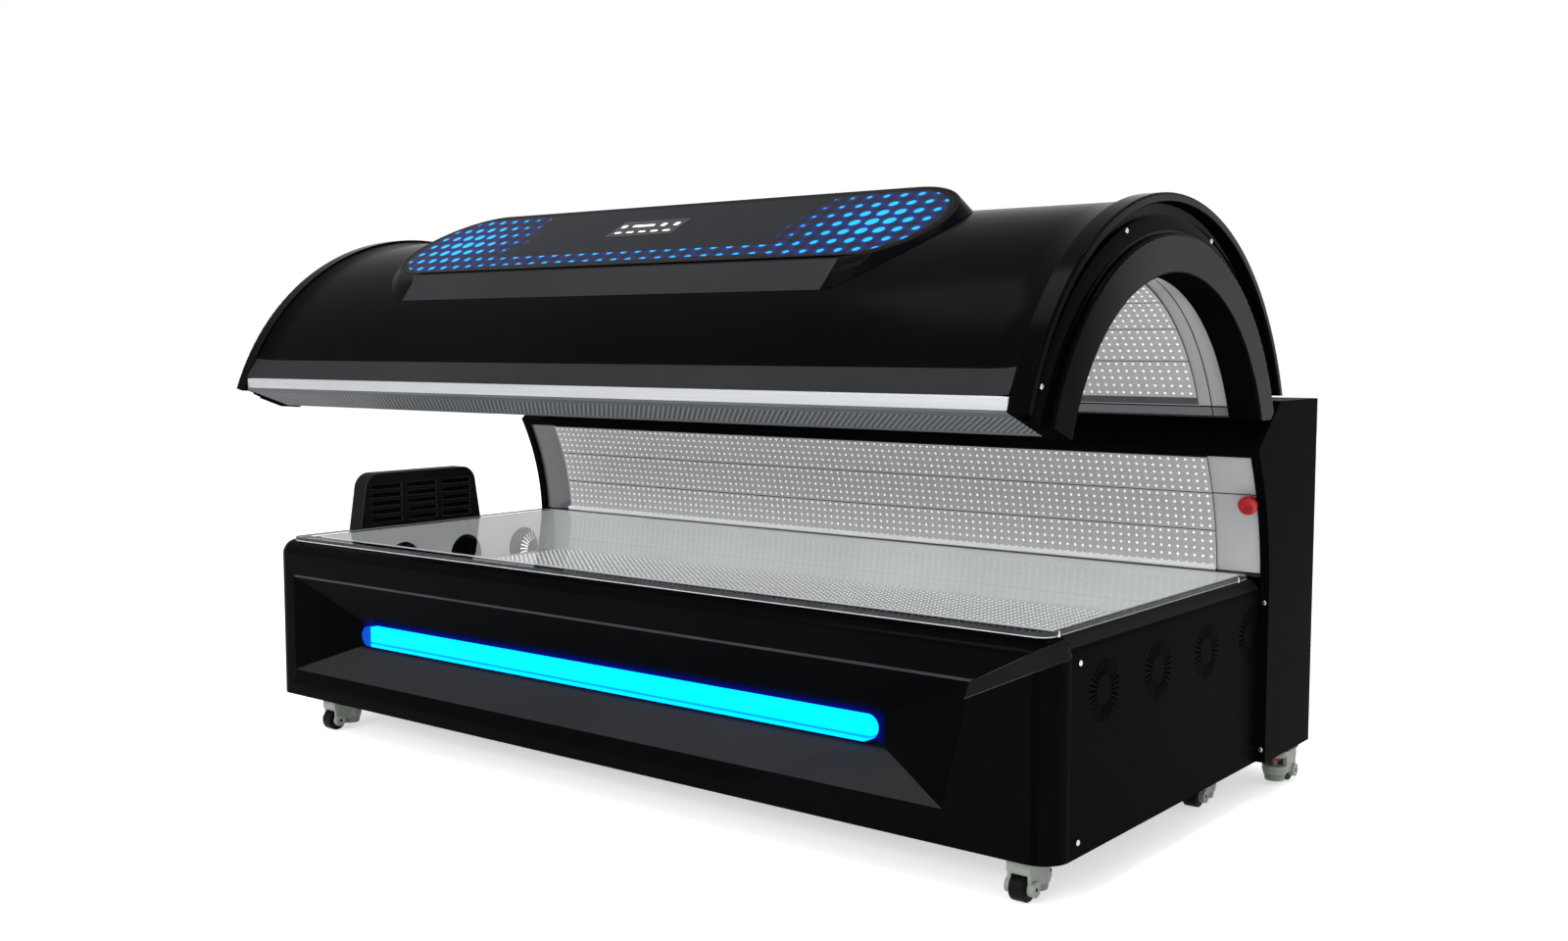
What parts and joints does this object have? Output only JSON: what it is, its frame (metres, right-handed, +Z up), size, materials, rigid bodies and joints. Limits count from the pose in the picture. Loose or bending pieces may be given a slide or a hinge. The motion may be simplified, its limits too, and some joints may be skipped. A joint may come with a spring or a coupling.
{
  "type": "red light therapy bed",
  "caption": "Wheeled light therapy bed with a clear lying sheet over lamp boards, a curved lamp wall and a hinged arched canopy with a control pod.",
  "frame": {"origin": "on the floor under the middle of the whole box, wheels at the floor", "axes": "+X along the bed towards the emergency stop end, +Y from the front towards the rear wall, +Z up"},
  "size_m": [2.244, 1.2592, 1.2698],
  "materials": {
    "black_gloss": "moulded, gloss black",
    "black_panel": "sheet steel, gloss black paint",
    "black_sheet": "sheet, satin black paint",
    "white_sheet": "sheet, white paint",
    "white_liner": "smooth light grey",
    "clear_sheet": "clear, polished edges",
    "lamp_board": "light grey board with white lamp dots",
    "light_bar": "glowing cyan diffuser",
    "silver_trim": "bright satin",
    "light_cover": "grey, finely meshed",
    "display": "dark window with a lit readout",
    "pod_plate": "gloss black with lit blue motifs",
    "stop_red": "red",
    "stop_grey": "grey",
    "caster_white": "grey white moulding",
    "tyre": "black",
    "foot": "grey white pad with a red dial",
    "steel": "bright",
    "frame_tube": "grey tube",
    "motor": "dark grey",
    "driver": "plain case",
    "fan": "black"
  },
  "bodies": {
    "base": {"base_pan": "black_sheet", "base_frame": "frame_tube", "front_fascia": "black_gloss", "fascia_light_bar": "light_bar", "end_panel_left": "black_panel", "end_panel_right": "black_panel", "end_panel_screws": "steel", "bed_sheet": "clear_sheet", "bed_tray": "white_sheet", "bed_lamp_boards": "lamp_board", "rear_side_left": "black_gloss", "rear_side_right": "black_gloss", "rear_deck": "black_sheet", "rear_back_panel": "black_sheet", "wall_liner": "white_liner", "wall_lamp_boards": "lamp_board", "stop_collar": "stop_grey", "fan_frames": "fan", "air_hood": "black_gloss", "lamp_drivers": "driver", "lift_motors": "motor", "hinge_blocks": "steel"},
    "canopy": {"canopy_shell": "black_gloss", "canopy_end_left": "black_gloss", "canopy_end_right": "black_gloss", "canopy_end_screws": "steel", "canopy_front_trim": "silver_trim", "canopy_light_cover": "light_cover", "canopy_liner": "white_liner", "canopy_lamp_boards": "lamp_board", "canopy_frame": "frame_tube", "canopy_hinge_arms": "steel", "pod_housing": "black_gloss", "pod_plate": "pod_plate", "pod_display": "display"},
    "lift_rods": {"lift_rods": "steel"},
    "stop_button": {"stop_button": "stop_red"},
    "fan_rotor_1": {"fan_rotor_1": "fan"},
    "fan_rotor_2": {"fan_rotor_2": "fan"},
    "fan_rotor_3": {"fan_rotor_3": "fan"},
    "fan_rotor_4": {"fan_rotor_4": "fan"},
    "caster_fork_front_left": {"caster_fork_front_left": "caster_white"},
    "caster_wheel_front_left": {"caster_wheel_front_left": "tyre"},
    "caster_foot_front_left": {"caster_foot_front_left": "foot"},
    "caster_fork_front_right": {"caster_fork_front_right": "caster_white"},
    "caster_wheel_front_right": {"caster_wheel_front_right": "tyre"},
    "caster_foot_front_right": {"caster_foot_front_right": "foot"},
    "caster_fork_middle_left": {"caster_fork_middle_left": "caster_white"},
    "caster_wheel_middle_left": {"caster_wheel_middle_left": "tyre"},
    "caster_foot_middle_left": {"caster_foot_middle_left": "foot"},
    "caster_fork_middle_right": {"caster_fork_middle_right": "caster_white"},
    "caster_wheel_middle_right": {"caster_wheel_middle_right": "tyre"},
    "caster_foot_middle_right": {"caster_foot_middle_right": "foot"},
    "caster_fork_rear_left": {"caster_fork_rear_left": "caster_white"},
    "caster_wheel_rear_left": {"caster_wheel_rear_left": "tyre"},
    "caster_foot_rear_left": {"caster_foot_rear_left": "foot"},
    "caster_fork_rear_right": {"caster_fork_rear_right": "caster_white"},
    "caster_wheel_rear_right": {"caster_wheel_rear_right": "tyre"},
    "caster_foot_rear_right": {"caster_foot_rear_right": "foot"}
  },
  "joints": [
    {"name": "canopy_hinge", "type": "hinge", "parent": "base", "child": "canopy", "pos_m": [0.023, 0.53558, 0.866], "axis": [-1, 0, 0], "range_deg": [0, 35]},
    {"name": "lift_slide", "type": "slide", "parent": "base", "child": "lift_rods", "axis": [0, 0, 1], "range_m": [0, 0.05]},
    {"name": "stop_press", "type": "slide", "parent": "base", "child": "stop_button", "axis": [0, 0.9544, 0.2985], "range_m": [0, 0.006]},
    {"name": "fan_spin_1", "type": "hinge", "parent": "base", "child": "fan_rotor_1", "pos_m": [1.087, -0.32842, 0.357], "axis": [1, 0, 0], "continuous": true},
    {"name": "fan_spin_2", "type": "hinge", "parent": "base", "child": "fan_rotor_2", "pos_m": [1.087, -0.11092, 0.357], "axis": [1, 0, 0], "continuous": true},
    {"name": "fan_spin_3", "type": "hinge", "parent": "base", "child": "fan_rotor_3", "pos_m": [1.087, 0.10658, 0.357], "axis": [1, 0, 0], "continuous": true},
    {"name": "fan_spin_4", "type": "hinge", "parent": "base", "child": "fan_rotor_4", "pos_m": [1.087, 0.32408, 0.357], "axis": [1, 0, 0], "continuous": true},
    {"name": "caster_swivel_front_left", "type": "hinge", "parent": "base", "child": "caster_fork_front_left", "pos_m": [-0.935, -0.44242, 0.07], "axis": [0, 0, 1], "continuous": true},
    {"name": "caster_roll_front_left", "type": "hinge", "parent": "caster_fork_front_left", "child": "caster_wheel_front_left", "pos_m": [-0.935, -0.46442, 0.025], "axis": [1, 0, 0], "continuous": true},
    {"name": "caster_level_front_left", "type": "slide", "parent": "caster_fork_front_left", "child": "caster_foot_front_left", "axis": [0, 0, -1], "range_m": [0, 0.01]},
    {"name": "caster_swivel_front_right", "type": "hinge", "parent": "base", "child": "caster_fork_front_right", "pos_m": [1.021, -0.44242, 0.07], "axis": [0, 0, 1], "continuous": true},
    {"name": "caster_roll_front_right", "type": "hinge", "parent": "caster_fork_front_right", "child": "caster_wheel_front_right", "pos_m": [1.021, -0.46442, 0.025], "axis": [1, 0, 0], "continuous": true},
    {"name": "caster_level_front_right", "type": "slide", "parent": "caster_fork_front_right", "child": "caster_foot_front_right", "axis": [0, 0, -1], "range_m": [0, 0.01]},
    {"name": "caster_swivel_middle_left", "type": "hinge", "parent": "base", "child": "caster_fork_middle_left", "pos_m": [-0.935, 0.26758, 0.07], "axis": [0, 0, 1], "continuous": true},
    {"name": "caster_roll_middle_left", "type": "hinge", "parent": "caster_fork_middle_left", "child": "caster_wheel_middle_left", "pos_m": [-0.935, 0.24558, 0.025], "axis": [1, 0, 0], "continuous": true},
    {"name": "caster_level_middle_left", "type": "slide", "parent": "caster_fork_middle_left", "child": "caster_foot_middle_left", "axis": [0, 0, -1], "range_m": [0, 0.01]},
    {"name": "caster_swivel_middle_right", "type": "hinge", "parent": "base", "child": "caster_fork_middle_right", "pos_m": [1.021, 0.26758, 0.07], "axis": [0, 0, 1], "continuous": true},
    {"name": "caster_roll_middle_right", "type": "hinge", "parent": "caster_fork_middle_right", "child": "caster_wheel_middle_right", "pos_m": [1.021, 0.24558, 0.025], "axis": [1, 0, 0], "continuous": true},
    {"name": "caster_level_middle_right", "type": "slide", "parent": "caster_fork_middle_right", "child": "caster_foot_middle_right", "axis": [0, 0, -1], "range_m": [0, 0.01]},
    {"name": "caster_swivel_rear_left", "type": "hinge", "parent": "base", "child": "caster_fork_rear_left", "pos_m": [-1.045, 0.54058, 0.07], "axis": [0, 0, 1], "continuous": true},
    {"name": "caster_roll_rear_left", "type": "hinge", "parent": "caster_fork_rear_left", "child": "caster_wheel_rear_left", "pos_m": [-1.045, 0.56258, 0.025], "axis": [1, 0, 0], "continuous": true},
    {"name": "caster_level_rear_left", "type": "slide", "parent": "caster_fork_rear_left", "child": "caster_foot_rear_left", "axis": [0, 0, -1], "range_m": [0, 0.01]},
    {"name": "caster_swivel_rear_right", "type": "hinge", "parent": "base", "child": "caster_fork_rear_right", "pos_m": [1.091, 0.54058, 0.07], "axis": [0, 0, 1], "continuous": true},
    {"name": "caster_roll_rear_right", "type": "hinge", "parent": "caster_fork_rear_right", "child": "caster_wheel_rear_right", "pos_m": [1.091, 0.56258, 0.025], "axis": [1, 0, 0], "continuous": true},
    {"name": "caster_level_rear_right", "type": "slide", "parent": "caster_fork_rear_right", "child": "caster_foot_rear_right", "axis": [0, 0, -1], "range_m": [0, 0.01]}
  ],
  "couplings": [
    {"joint": "lift_slide", "follows": "canopy_hinge", "m_per_rad": 0.068}
  ]
}
